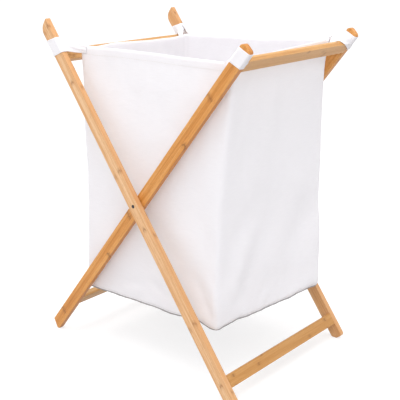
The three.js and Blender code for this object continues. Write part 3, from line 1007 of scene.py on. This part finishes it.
    def _crease(self, bag: Object) -> None:
        """Presses in the creases of the walls, and swells the slack cloth as washed canvas does.

        Args:
            bag: The bag's single layer of cloth.
        """
        base = np.array([0, 0, self.geometry.pivot_height])
        normals = np.array([v.normal for v in bag.data.vertices])
        move = np.array([
            sum(height * noise.noise(Vector(p) / size + Vector(shift))
                for size, height, shift in self.swells) for p in self.points])
        for start, end, width, depth in self.creases:
            p, q = (np.array(spot, float) * MM + base for spot in (start, end))
            d = q - p
            t = np.clip(((self.points - p) @ d) / (d @ d), 0, 1)
            gap = np.linalg.norm(self.points - (p + t[:, None] * d), axis=1) / (width * MM)
            fade = np.sin(np.pi * np.clip(t * 0.8 + 0.1, 0, 1))
            # Beside its ridge a crease dips the other way
            form = np.exp(-gap ** 2) - 0.45 * np.exp(-(gap - 1.9) ** 2)
            move += depth * MM * form * fade
        self._move_to(bag, self.points + normals * move[:, None])

    def ring(self, rows_down: float) -> ndarray:
        """The loop of points that runs round the walls at a height.

        Args:
            rows_down: Rows of cells below the rim.

        Returns:
            One point in each row, in order round the bag.
        """
        nx, ny, nz = self.cells
        around = [(i, 0) for i in range(nx)] + [(nx, j) for j in range(ny)]
        around += [(i, ny) for i in range(nx, 0, -1)] + [(0, j) for j in range(ny, 0, -1)]
        upper, part = nz - int(rows_down), rows_down - int(rows_down)
        high, low = (np.array([self.points[self.index[(i, j, k)]] for i, j in around])
                     for k in (upper, max(upper - 1, 0)))
        return high * (1 - part) + low * part


def on_surface(path: ndarray, target: Object, lift: float, away: ndarray) -> ndarray:
    """Lays a path on an object's outer surface.

    Args:
        path: Points near the surface.
        target: The object.
        lift: How far proud of the surface the path lies.
        away: For each point, the way out of the object, of length 1.

    Returns:
        The laid path.
    """
    reach = 20 * MM
    tree = BVHTree.FromPolygons([v.co.copy() for v in target.data.vertices],
                                [tuple(p.vertices) for p in target.data.polygons])
    laid = []
    for here, out in zip((Vector(p) for p in path), (Vector(v) for v in away)):
        hit = tree.ray_cast(here + out * reach, -out, 2 * reach)[0]
        laid.append(tuple((hit if hit is not None else here) + out * lift))
    return np.array(laid)


def sideways(path: ndarray, down: float = 0.0) -> ndarray:
    """The way out from the bag's middle at each point of a path round it.

    Args:
        path: The points.
        down: How steeply the way out points down, for an edge underneath.

    Returns:
        One direction of length 1 in each row.
    """
    middle = np.array([10 * MM, 0.0, 0.0])
    away = path - middle
    away[:, 2] = 0.0
    away = unit(away)
    away[:, 2] = -down
    return unit(away)


@dataclass
class FloorSeam:
    """The bound seam that joins the bag's floor to its walls: a thin welt all the way round. Its
    binding is painted dark grey, as painted shade for the shadow line along the bottom edge.

    It puckers along its length in waves, each with a share of the radius and a length.
    """

    binding_in_painted_shade: Material
    radius: float = 1.35 * MM
    around: int = 8
    step: float = 5 * MM
    puckers: Line = ((0.16, 3.3 * MM), (0.12, 11 * MM))

    def build(self, path: ndarray) -> Object:
        """Sweeps the welt along the seam.

        Args:
            path: The seam's points, in order round the bag.

        Returns:
            The finished welt.
        """
        ring = np.vstack([path, path[:1]])
        far = distances(ring)
        count = int(far[-1] / self.step)
        at = np.linspace(0, far[-1], count, endpoint=False)
        centre = np.stack([np.interp(at, far, ring[:, k]) for k in range(3)], axis=1)
        before, after = (np.roll(centre, turn, axis=0) for turn in (1, -1))
        centre = (before + 2 * centre + after) / 4
        ahead = unit(np.roll(centre, -1, axis=0) - np.roll(centre, 1, axis=0))
        level = unit(np.cross(ahead, (0.0, 0.0, 1.0)))
        upright = np.cross(level, ahead)
        pucker = sum(share * np.sin(at / length) for share, length in self.puckers)
        size = (self.radius * (1 + pucker))[:, None]
        turns = np.linspace(0, 2 * np.pi, self.around, endpoint=False)
        points = [centre + size * (math.cos(t) * level + math.sin(t) * upright) for t in turns]
        faces, uvs = woven(self.around + 1, count, (self.step, 0.8 * self.radius), closed=True)
        faces = [tuple(n % (self.around * count) for n in face) for face in faces]
        made = make_mesh("floor_seam", np.concatenate(points), faces, self.binding_in_painted_shade, uvs)
        face_out(made)
        return made


@dataclass(frozen=True)
class StrapCut:
    """Where a strap's edges run on its leg: distances above the rail's centre, and their tilt."""

    low: float
    low_tilt: float
    high: float
    high_tilt: float


@dataclass(frozen=True)
class EarEdge:
    """One edge of an ear's strand, as places in millimetres.

    On the leg a place is across the leg, from the middle plane, and above the rail's middle; by the
    bag it is x, from the middle plane, and above the pivot.
    """

    on_leg: tuple[Point, ...]
    by_bag: tuple[Point, ...]


@dataclass(frozen=True)
class EarCut:
    """The edges of an ear's outer and inner strand, how far its cloth is gathered, and its fold.

    fold_from and fold_to are places for an ear of the inner frame as the frame folds, at the outer
    frame and at the inner frame: x, from the middle plane, and above the pivot, in millimetres.
    Nothing in this script reads them.
    """

    outer_high: EarEdge
    outer_low: EarEdge
    inner_high: EarEdge
    inner_low: EarEdge
    gather: float = 0.5 * MM
    fold_from: Point = (110, 98, 350)
    fold_to: Point = (208.5, 168.5, 283)


STRAPS = {
    Hung.OUTER: StrapCut(0.9 * MM, -0.2, 36.1 * MM, -0.286),
    Hung.INNER: StrapCut(-5.85 * MM, -0.196, 28.15 * MM, -0.16),
}

# Where the strands' edges lie round the outer frame's legs and the inner frame's legs
ROUND_OUTER_HIGH = ((-7, 200, 37.2), (8, 200.8, 32.9), (13.9, 200.4, 31.3))
ROUND_OUTER_LOW = ((-7, 200, 3.2), (8, 200.8, 0.2), (13.9, 200.4, -1.1))
WITHIN_OUTER_LOW = ((-14, 191, 4.5), (-5, 183.5, 13.6), (7, 172, 13.6))
ROUND_INNER_HIGH = ((-7, 185.5, 28.4), (8, 186.3, 26.1), (13.9, 185.9, 25.1))
ROUND_INNER_LOW = ((-7, 185.5, -3.8), (8, 186.3, -6.6), (13.9, 185.9, -7.8), (13.9, 175, -7.6))

EARS = {
    (Hung.OUTER, Side.NEAR): EarCut(
        EarEdge((*ROUND_OUTER_HIGH, (13.9, 188, 30.8)),
                ((-189.6, 178, 301.4), (-183.6, 165.5, 294.5), (-176, 162.6, 294.4),
                 (-163, 162.5, 293.8))),
        EarEdge((*ROUND_OUTER_LOW, (13.9, 188, -1.2)),
                ((-184.6, 176, 280.1), (-180.6, 164.5, 278.3), (-176, 162.6, 278.8),
                 (-163, 162.5, 279.3))),
        EarEdge(((-14, 191, 39.3), (-5, 184.5, 36.6), (7, 178, 31.5)),
                ((-190.5, 168, 297.5), (-188.6, 156, 294.3))),
        EarEdge(WITHIN_OUTER_LOW, ((-188.4, 150, 278),)),
        gather=0.9 * MM),
    (Hung.OUTER, Side.FAR): EarCut(
        EarEdge((*ROUND_OUTER_HIGH, (13.9, 190, 30.0)),
                ((-195.5, 185, 301), (-180, 170, 296.3), (-166, 161.8, 292.8),
                 (-150, 161.5, 292.6))),
        EarEdge((*ROUND_OUTER_LOW, (13.9, 190, -2.0)),
                ((-186, 176, 276.5), (-166, 161.8, 274), (-150, 161.5, 274))),
        EarEdge(((-14, 191, 39.3), (-5, 185.5, 36.6), (8, 184.5, 32.5)),
                ((-196, 180, 302), (-174.6, 152, 291.6))),
        EarEdge(WITHIN_OUTER_LOW, ((-174.8, 147, 276),))),
    (Hung.INNER, Side.NEAR): EarCut(
        EarEdge((*ROUND_INNER_HIGH, (13.9, 175, 24.6)),
                ((210, 167.5, 319), (196, 163, 304), (185, 161.7, 300.2))),
        EarEdge(ROUND_INNER_LOW, ((205, 167, 292), (184, 161.7, 283))),
        EarEdge(((-14.2, 178.5, 29.5), (-7, 171.5, 28.6), (7, 170.5, 26.6), (13.5, 169.5, 25.2)),
                ((211, 164, 319), (199.6, 154, 301.6))),
        EarEdge(((-14.2, 178.5, -2.2), (-8, 170.5, 13.6), (2, 160, 13.9)),
                ((200, 147, 286),))),
    (Hung.INNER, Side.FAR): EarCut(
        EarEdge((*ROUND_INNER_HIGH, (14, 175.5, 25.6)),
                ((223.5, 169, 330.4), (212, 164, 322.5), (199, 161.8, 317.3))),
        EarEdge(ROUND_INNER_LOW, ((216, 168, 303), (198, 161.8, 298))),
        EarEdge(((-14.2, 176.5, 29.5), (-7, 171.5, 28.8), (7, 170.8, 27.2), (13.5, 170.3, 26.3)),
                ((223, 166, 330.2), (210.2, 157, 318.6))),
        EarEdge(((-14.3, 177, -2.2), (-14.3, 166, 4), (-13.9, 149.5, 13.9), (0.8, 143.5, 13.9)),
                ((210.2, 146, 303),)),
        gather=0.3 * MM, fold_from=(125, 105.5, 358.5), fold_to=(222.5, 169, 299)),
}


@dataclass
class CornerLoop:
    """A canvas strap round a leg top, and the ear that runs from it to the bag's corner.

    The strap's lower edge lifts over the rail between two places through and across the leg, and
    its cloth lies flat on the passed side of the leg. The ear's slack is pairs of a share of its
    length and how free the cloth is there, and its gathers are how far they turn up and along it.
    """

    geometry: FrameGeometry
    hung: Hung
    side: Side
    canvas: Material
    strap_cloth: float = 0.65 * MM
    ear_cloth: float = 0.6 * MM
    ear_size: tuple[float, float] = (60 * MM, 34 * MM)
    ease: float = 0.12 * MM
    corner: float = 2.2 * MM
    edge_round: float = 0.28 * MM
    ripple: float = 0.3 * MM
    over_rail: float = 0.6 * MM
    clear_of_rail: float = 0.9 * MM
    clear_of_leg: float = 0.35 * MM
    drawn_off_leg: float = 1.0 * MM
    swell: float = 1.3 * MM
    tack_lift: float = 0.42 * MM
    strap_table: tuple[int, int] = (15, 88)
    ear_table: tuple[int, int] = (26, 40)
    lift_through: tuple[float, float] = (4.4 * MM, 6.0 * MM)
    lift_across: tuple[float, float] = (5.0 * MM, 1.0 * MM)
    flat_through: tuple[float, float] = (4 * MM, 6 * MM)
    flat_share: float = 0.9
    edge_at: float = 11 * MM
    face_at: float = 6 * MM
    ear_ease: float = 0.14
    ear_slack: Line = ((0.3, 0.0), (0.62, 1.0), (0.9, 0.7), (1.0, 0.15))
    gathers: tuple[float, float] = (11, 2.5)

    @property
    def body(self) -> str:
        """The body whose leg the strap is round."""
        return OUTER_BODY if self.hung is Hung.OUTER else INNER_BODY

    @property
    def label(self) -> str:
        """The words that name this corner."""
        return f"{self.hung.name.lower()}_{self.side.name.lower()}"

    @property
    def cut(self) -> EarCut:
        """The cut of this corner's ear."""
        return EARS[self.hung, self.side]

    def _outline(self) -> tuple[ndarray, ndarray, ndarray]:
        """The path round the leg, a little outside its faces.

        Returns:
            Across, outward along the pivot axis from the leg's middle, and distance round.
        """
        r = self.corner
        wide = self.geometry.leg_width / 2 + self.ease - r
        thick = self.geometry.leg_thickness / 2 + self.ease - r
        dense = []
        for quarter, (cx, cy) in enumerate(
                ((wide, thick), (-wide, thick), (-wide, -thick), (wide, -thick))):
            for turn in np.radians(np.linspace(90 * quarter, 90 * quarter + 90, 8)):
                dense.append((cx + r * math.cos(turn), cy + r * math.sin(turn)))
        ring = np.array(dense + dense[:1])
        far = distances(ring)
        at = np.linspace(0, far[-1], self.strap_table[1], endpoint=False)
        return np.interp(at, far, ring[:, 0]), np.interp(at, far, ring[:, 1]), at

    def _edges(self, across: ndarray, out: ndarray) -> tuple[ndarray, ndarray]:
        """The strap's lower and upper edge along the leg, lifted over the rail on the inner face.

        Args:
            across: Places across the leg.
            out: Places through the leg, positive on the side away from the hamper's middle.

        Returns:
            Lower and upper edge, as distances up the leg from the pivot.
        """
        strap, rail = STRAPS[self.hung], self.geometry.rail(self.hung)
        clear = self.geometry.rail_height / 2 + self.over_rail
        low = strap.low + strap.low_tilt * across
        on_rail = smoothstep(*self.lift_through, -out) * smoothstep(*self.lift_across, across)
        low = low + on_rail * (clear - low)
        return rail + low, rail + strap.high + strap.high_tilt * across

    def band(self) -> Object:
        """Builds the strap round the leg.

        Returns:
            The finished strap.
        """
        up, around = self.strap_table
        across, out, far = self._outline()
        low, high = self._edges(across, out)
        rng = np.random.default_rng(11 + 3 * self.hung.value + self.side.value)
        waves = [(rng.integers(2, 6), rng.uniform(0, 6.28), rng.uniform(1, 4)) for _ in range(5)]
        # The cloth lies flat on the side that the other frame's leg passes when the frame folds
        passed = -out if self.hung is Hung.OUTER else out
        free = 1 - self.flat_share * smoothstep(*self.flat_through, passed)
        on_edge, on_face = np.abs(across) > self.edge_at, np.abs(out) > self.face_at
        y_mid = self.geometry.leg_y(self.hung, self.side)
        points = []
        for share in np.linspace(0, 1, up):
            wavy = sum(np.sin(2 * np.pi * n * far / far[-1] + phase + slant * share)
                       for n, phase, slant in waves) / len(waves)
            lift = self.ripple * (1 + wavy) * (0.25 + abs(2 * share - 1)) * free
            out_now = out + np.sign(out) * lift * on_face
            points.append(self.geometry.place(
                self.hung, low + share * (high - low), across + np.sign(across) * lift * on_edge,
                y_mid + self.side.value * out_now))
        faces, uvs = woven(up, around, (far[1], self.ear_size[1] / (up - 1)), closed=True)
        if self.side.value * self.hung.value > 0:
            faces, uvs = [f[::-1] for f in faces], [u[::-1] for u in uvs]
        made = make_mesh(f"leg_strap_{self.label}", np.concatenate(points), faces, self.canvas,
                         uvs)
        thicken(made, self.strap_cloth, 1.0)
        rounded = made.modifiers.new("edge", "BEVEL")
        rounded.width = self.edge_round
        rounded.segments = 2
        rounded.limit_method = "ANGLE"
        rounded.angle_limit = math.radians(50)
        settle(made)
        face_out(made)
        return made

    def _edge(self, edge: EarEdge, at: ndarray) -> ndarray:
        """Runs one edge of a strand from the leg to the bag, with eased corners and kept ends.

        Args:
            edge: The edge.
            at: Shares of its length, from 0 to 1.

        Returns:
            One point for each share.
        """
        g, side = self.geometry, self.side.value
        line = [g.place(self.hung, g.rail(self.hung) + up * MM, across * MM, side * y * MM)
                for across, y, up in edge.on_leg]
        line += [np.array((x * MM, side * y * MM, g.pivot_height + z * MM))
                 for x, y, z in edge.by_bag]
        knots = np.array(line)
        far = distances(knots)
        far /= far[-1]

        def read(share: ndarray) -> ndarray:
            """Reads the line, carried on past its ends."""
            inside = np.where(share < 0, -share, np.where(share > 1, 2 - share, share))
            point = np.stack([np.interp(inside, far, knots[:, k]) for k in range(3)], axis=1)
            point[share < 0] = 2 * knots[0] - point[share < 0]
            point[share > 1] = 2 * knots[-1] - point[share > 1]
            return point

        return soften(read, at, self.ear_ease)

    def _clear_of_wood(self, points: ndarray, over_leg: ndarray) -> ndarray:
        """Moves points out of the leg and the rail end to just over the nearest face.

        Args:
            points: The points.
            over_leg: For each point, how far outside the leg's faces it has to be.

        Returns:
            The moved points.
        """
        g = self.geometry
        s, c = math.sin(g.lean), math.cos(g.lean)
        x, z = self.hung.value * points[:, 0], points[:, 2] - g.pivot_height
        place = np.stack([x * s + z * c, z * s - x * c, np.abs(points[:, 1])])
        along, across, through = range(3)
        y_mid, over = abs(g.leg_y(self.hung, self.side)), self.clear_of_rail
        y_in, y_out = y_mid - g.leg_thickness / 2, y_mid + g.leg_thickness / 2
        half, top = g.leg_width / 2, g.rail(self.hung) + g.rail_height / 2

        # For each face of the rail and then of the leg: the way that it looks and its place,
        # how far over it the cloth has to be, and how far over it a point is set
        rail = ((across, -1, -half, over, over), (across, 1, 0.0, over, over),
                (along, 1, top, over, over))
        leg = ((across, -1, -half, over_leg, over_leg), (across, 1, half, over_leg, over_leg),
               (through, -1, y_in, over_leg, over_leg),
               (through, 1, y_out, over_leg, np.minimum(over_leg, over)))
        for faces, reached in ((rail, place[along] > top - g.rail_height), (leg, True)):
            depth = np.stack([way * at + clear - way * place[row]
                              for row, way, at, clear, _ in faces])
            inside = (depth > 0).all(axis=0) & reached
            nearest = depth.argmin(axis=0)
            for number, (row, way, at, _, set_over) in enumerate(faces):
                place[row] = np.where(inside & (nearest == number), at + way * set_over,
                                      place[row])
        return g.place(self.hung, place[along], place[across], self.side.value * place[through])

    def _strand(self, low: EarEdge, high: EarEdge, away: ndarray, phase: float
                ) -> tuple[ndarray, ndarray]:
        """Spreads one strand's cloth between its edges, gathered a little and clear of the wood.

        Args:
            low: Its lower edge.
            high: Its upper edge.
            away: A rough direction out of the ear.
            phase: Where its gathers begin.

        Returns:
            A grid of points, along the strand and then up it, and the directions out of the cloth.
        """
        up, steps = (np.linspace(0, 1, count) for count in self.ear_table)
        bottom, top = self._edge(low, steps), self._edge(high, steps)
        grid = bottom[:, None] * (1 - up)[:, None] + top[:, None] * up[:, None]
        out = unit(np.cross(np.gradient(grid, axis=0), np.gradient(grid, axis=1)))
        out *= np.sign((out @ away).mean())
        free = np.interp(steps, *np.array(self.ear_slack).T)[:, None]
        swell = self.swell * 4 * up * (1 - up) * free
        upward, along = self.gathers
        pleat = self.cut.gather * np.sin(upward * up + along * steps[:, None] + phase) * free
        grid = grid + out * (swell + pleat * np.sin(np.pi * up))[:, :, None]
        over_leg = self.clear_of_leg + self.drawn_off_leg * smoothstep(0.02, 0.35, steps)
        over_leg = over_leg[:, None] + 0 * up
        # Smoothing moves the cloth back into the wood a little, so the two take turns
        shape = grid.shape
        for _ in range(3):
            grid = self._clear_of_wood(grid.reshape(-1, 3), over_leg.ravel()).reshape(shape)
            around = grid[:-2, 1:-1] + grid[2:, 1:-1] + grid[1:-1, :-2] + grid[1:-1, 2:]
            grid[1:-1, 1:-1] = 0.4 * grid[1:-1, 1:-1] + 0.15 * around
        return self._clear_of_wood(grid.reshape(-1, 3), 0.8 * over_leg.ravel()).reshape(shape), out

    def ear(self) -> tuple[Object, list[Row]]:
        """Builds the ear: the strap's two strands, which run together to the bag's corner.

        Returns:
            The finished ear, and the paths of the stitches that hold it to the bag.
        """
        cut, side, hung = self.cut, float(self.side.value), float(self.hung.value)
        strands = [
            self._strand(cut.outer_low, cut.outer_high, np.array([0.2 * hung, side, 0.0]), 0.4),
            self._strand(cut.inner_low, cut.inner_high, np.array([hung, -0.3 * side, 0.3]), 2.1)]
        wide, long = self.ear_table
        pitch = (self.ear_size[0] / (long - 1), self.ear_size[1] / (wide - 1))
        cells, coordinates = woven(wide, long, pitch, closed=False)
        points, faces, uvs, rows = [], [], [], []
        for number, (grid, out) in enumerate(strands):
            points.append(grid.transpose(1, 0, 2).reshape(-1, 3))
            faces += [tuple(n + number * wide * long for n in face) for face in cells]
            uvs += coordinates
            sewn = (long - 4, slice(3, -3))
            rows.append((grid[sewn] + self.tack_lift * out[sewn], False))
        made = make_mesh(f"corner_ear_{self.label}", np.concatenate(points), faces, self.canvas,
                         uvs)
        thicken(made, self.ear_cloth, 0.0)
        settle(made)
        face_out(made)
        return made, rows

    def stitches(self, band: Object) -> list[Row]:
        """Two rows of stitches across the strap's outer face, near its edges.

        Args:
            band: The strap.

        Returns:
            The two paths, both open.
        """
        count, reach, inset = 12, 10.5 * MM, 3.0 * MM
        across = np.linspace(-reach, reach, count)
        out = np.full(count, self.geometry.leg_thickness / 2)
        low, high = self._edges(across, out)
        y = self.geometry.leg_y(self.hung, self.side) + self.side.value * out
        away = np.tile([0.0, float(self.side.value), 0.0], (count, 1))
        return [(on_surface(self.geometry.place(self.hung, along, across, y), band, 0.03 * MM,
                            away), False) for along in (low + inset, high - inset)]


@dataclass
class Studio:
    """The plain floor, the soft lamps and the camera."""

    geometry: FrameGeometry
    yaw: float = 39.715
    pitch: float = 15.568
    roll: float = 0.969
    focal_px: float = 884.1
    picture_px: float = 400.0
    centre_px: tuple[float, float] = (184.51, 170.42)
    place: Point = (1.12617, -1.40017, 0.53285)
    sensor: float = 36.0
    floor_half: float = 14.0
    floor_glow: float = 0.62

    def camera(self) -> None:
        """Places the scene's camera where the photograph was taken from."""
        yaw, pitch, roll = (math.radians(v) for v in (self.yaw, self.pitch, self.roll))
        look = Vector((-math.sin(yaw) * math.cos(pitch), math.cos(yaw) * math.cos(pitch),
                       -math.sin(pitch)))
        level = Vector((math.cos(yaw), math.sin(yaw), 0.0))
        upright = level.cross(look)
        right = math.cos(roll) * level + math.sin(roll) * upright
        up = -math.sin(roll) * level + math.cos(roll) * upright
        data = bpy.data.cameras.new("camera")
        data.sensor_width = self.sensor
        data.lens = self.focal_px * self.sensor / self.picture_px
        data.shift_x = (self.picture_px / 2 - self.centre_px[0]) / self.picture_px
        data.shift_y = (self.centre_px[1] - self.picture_px / 2) / self.picture_px
        data.clip_start, data.clip_end = 0.05, 60.0
        made = link("camera", data)
        spot = Vector(self.place) + Vector((0, 0, self.geometry.pivot_height))
        turn = Matrix((right, up, -look)).transposed().to_4x4()
        made.matrix_world = Matrix.Translation(spot) @ turn
        bpy.context.scene.camera = made

    def _looked_at(self, add: AddNode) -> Node:
        """Makes a value that is 1 where the camera looks, straight or in a gloss, and 0 for light.

        Args:
            add: Adds a node to the tree.

        Returns:
            The node that gives the value.
        """
        rays = add("ShaderNodeLightPath").outputs
        gloss = add("ShaderNodeMath", {
            "operation": "MAXIMUM", 0: rays["Is Glossy Ray"], 1: rays["Is Transmission Ray"]})
        return add("ShaderNodeMath", {
            "operation": "MAXIMUM", 0: rays["Is Camera Ray"], 1: gloss})

    def floor(self) -> None:
        """Lays a wide floor of pale paper.

        The paper glows a little where it is looked at, so that it shows white.
        """
        material, add = new_material("pale_paper")
        seen = self._looked_at(add)
        lay_surface(add, {
            "Base Color": add("ShaderNodeMix", {
                "data_type": "RGBA", 0: seen, 6: linear("#BFBFBF"),
                7: linear("#B4B4B4")}).outputs[2],
            "Roughness": 0.95, "Specular IOR Level": 0.0, "Emission Color": linear("#FFFFFF"),
            "Emission Strength": add("ShaderNodeMath", {
                "operation": "MULTIPLY", 0: seen, 1: self.floor_glow})})
        corners = [(x * self.floor_half, y * self.floor_half, 0.0)
                   for x, y in ((-1, -1), (1, -1), (1, 1), (-1, 1))]
        made = make_mesh("studio_floor", np.array(corners), [(0, 1, 2, 3)], material)

    def lights(self) -> None:
        """Hangs the soft boxes and whitens the surroundings."""
        aim = Vector((0.0, 0.0, 0.35))
        lamps = (("key_softbox", 0.7, 8.0, (1.1, -2.4, 1.76)),
                 ("top_softbox", 2.4, 35.0, (0.0, -0.35, 2.9)))
        for name, size, power, place in lamps:
            data = bpy.data.lights.new(name, "AREA")
            data.shape = "SQUARE"
            data.size = size
            data.energy = power
            made = link(name, data)
            made.location = place
            made.rotation_euler = (aim - Vector(place)).to_track_quat("-Z", "Y").to_euler()
        world = bpy.data.worlds.new("white_room")
        world.use_nodes = True
        world.node_tree.nodes.clear()
        add = partial(add_node, world.node_tree)
        add("ShaderNodeOutputWorld", {"Surface": add("ShaderNodeMixShader", {
            0: self._looked_at(add),
            1: add("ShaderNodeBackground", {"Color": linear("#FCFCFE"), "Strength": 1.09}),
            2: add("ShaderNodeBackground", {"Color": linear("#FFFFFF"), "Strength": 1.0})})})
        bpy.context.scene.world = world
        bpy.context.scene.view_settings.view_transform = "Standard"


def squash_with_fold(piece: Object) -> None:
    """Gives a soft piece its own copy of its mesh."""
    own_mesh(piece)


def tuck_with_fold(piece: Object, geometry: FrameGeometry) -> None:
    """Gives a soft piece its own copy of its mesh, and works out the place beside its leg, which
    nothing uses.

    Args:
        piece: The piece, which rides the outer frame.
        geometry: The frames' sizes.
    """
    beside = geometry.place(Hung.OUTER, geometry.outer_rail, -8 * MM, 0.0)
    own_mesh(piece)


def hang_corner(loop: CornerLoop, thread: Material) -> tuple[list[Object], list[Row]]:
    """Makes one corner's strap and ear, and joins the strap to its body; on the outer frame the ear
    and its stitches join that body too.

    Args:
        loop: The corner.
        thread: The thread's material.

    Returns:
        The strap, the ear and the ear's stitches, and the paths of the strap's own stitches.
    """
    band = loop.band()
    ear, ends = loop.ear()
    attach(band, loop.body)
    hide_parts(f"loop_{loop.label}")
    tacks = StitchRow(pitch=2.9 * MM, length=2.2 * MM, thread=0.45 * MM).sew(
        f"ear_stitches_{loop.label}", ends, thread)
    for soft in (ear, tacks):
        if loop.hung is Hung.OUTER:
            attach(soft, OUTER_BODY)
            tuck_with_fold(soft, loop.geometry)
        else:
            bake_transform(soft)
    log.info("%s and %s made", band.name, ear.name)
    return [band, ear, tacks], loop.stitches(band)


def main() -> None:
    """Builds the camera, the frames' finishes, the bag, its straps and the stitching."""
    logging.basicConfig(level=logging.INFO, format="%(message)s")
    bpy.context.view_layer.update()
    geometry = FrameGeometry()
    studio = Studio(geometry)
    studio.camera()
    studio.floor()
    studio.lights()
    CrossedFrames(geometry).dress()

    thread = ThreadFinish().build()
    bag_shape = CanvasBag(geometry, CanvasFinish().build())
    bag = bag_shape.build()
    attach(bag, OUTER_BODY)
    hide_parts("bag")

    doubled = CanvasFinish("doubled_cotton_canvas", through=0.0).build()
    rows: dict[str, list[Row]] = {OUTER_BODY: [], INNER_BODY: []}
    straps = []
    for hung, side in EARS:
        loop = CornerLoop(geometry, hung, side, doubled)
        pieces, paths = hang_corner(loop, thread)
        straps += pieces
        rows[loop.body] += paths

    # The binding's dark grey is painted shade: it stands in for the shadow line along the bag's
    # bottom edge
    binding_in_painted_shade = CanvasFinish("cotton_tape_in_painted_shade", "#A9A5A4", "#979392", through=0.0).build()
    # Rows of cells below the rim: the floor's edge, and the stitches of the hem and of the foot
    lowest, hem, foot = (bag_shape.ring(down) for down in (52, 1.6, 51.3))
    seam = FloorSeam(binding_in_painted_shade).build(on_surface(lowest, bag, 0.5 * MM, sideways(lowest, down=1.0)))
    sewn = [seam, StitchRow().sew("bag_stitches", [
        (on_surface(path, bag, 0.15 * MM, sideways(path)), True) for path in (hem, foot)], thread)]
    for piece in sewn:
        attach(piece, OUTER_BODY)
        squash_with_fold(piece)
    for body, paths in rows.items():
        row = StitchRow(pitch=3.6 * MM, length=2.7 * MM, thread=0.4 * MM).sew(
            f"strap_stitches_{body.split('_')[0]}", paths, thread)
        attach(row, body)
        sewn.append(row)
    squash_with_fold(bag)


if __name__ == "__main__":
    main()
